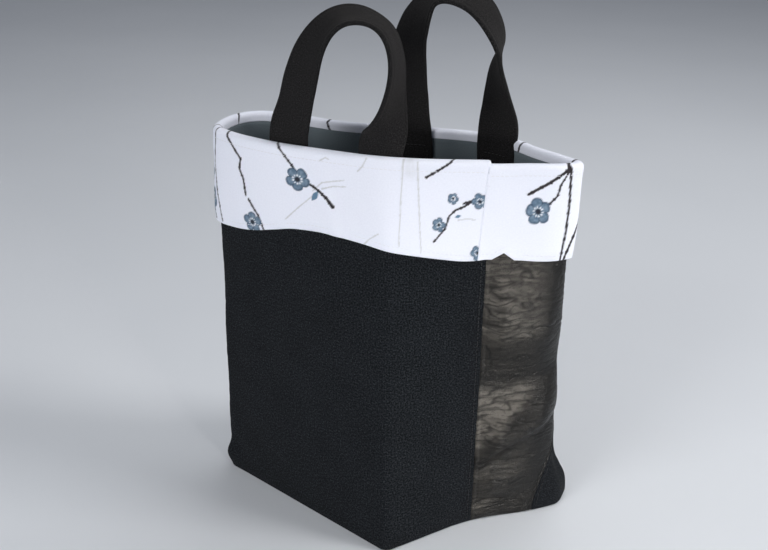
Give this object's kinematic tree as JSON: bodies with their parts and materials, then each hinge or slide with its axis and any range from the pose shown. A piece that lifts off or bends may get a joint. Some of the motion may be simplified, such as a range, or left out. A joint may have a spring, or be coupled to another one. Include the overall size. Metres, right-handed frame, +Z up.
{
  "type": "knitting bag",
  "caption": "Square-bottomed fabric knitting bag with a leather side strip, a printed fold-over cuff, a cloth lining and short strap handles that fold down.",
  "frame": {"origin": "middle of the base on the floor", "axes": "+Z up, +X along the length of the mouth to the right seen from the front, front faces -Y"},
  "size_m": [0.3235, 0.2059, 0.4512],
  "materials": {
    "canvas": "matte woven canvas, very dark charcoal",
    "leather": "soft semi-gloss leather with fine creases",
    "printed_cotton": "plain-weave cotton, white with a dark branch and blossom print",
    "lining_cotton": "plain slate grey cotton",
    "interlining": "off-white felted interlining",
    "strap_cloth": "brushed brown-black webbing cloth"
  },
  "bodies": {
    "bag": {"front_canvas_panel": "canvas", "leather_side_panel": "leather", "back_canvas_panel": "canvas", "base_panel": "canvas", "front_interlining": "interlining", "back_interlining": "interlining", "base_interlining": "interlining", "front_lining": "lining_cotton", "back_lining": "lining_cotton", "base_lining": "lining_cotton", "front_cuff": "printed_cotton", "back_cuff": "printed_cotton", "near_handle_left_end": "strap_cloth", "near_handle_right_end": "strap_cloth", "far_handle_left_end": "strap_cloth", "far_handle_right_end": "strap_cloth"},
    "near_handle": {"near_handle_strap": "strap_cloth"},
    "far_handle": {"far_handle_strap": "strap_cloth"}
  },
  "joints": [
    {"name": "near_handle_fold", "type": "hinge", "parent": "bag", "child": "near_handle", "pos_m": [-0.08637, -0.03152, 0.3315], "axis": [0.9947, -0.1031, 0], "range_deg": [-13, 145]},
    {"name": "far_handle_fold", "type": "hinge", "parent": "bag", "child": "far_handle", "pos_m": [0.07753, 0.04686, 0.3315], "axis": [-0.9979, 0.0645, 0], "range_deg": [-13, 145]}
  ]
}
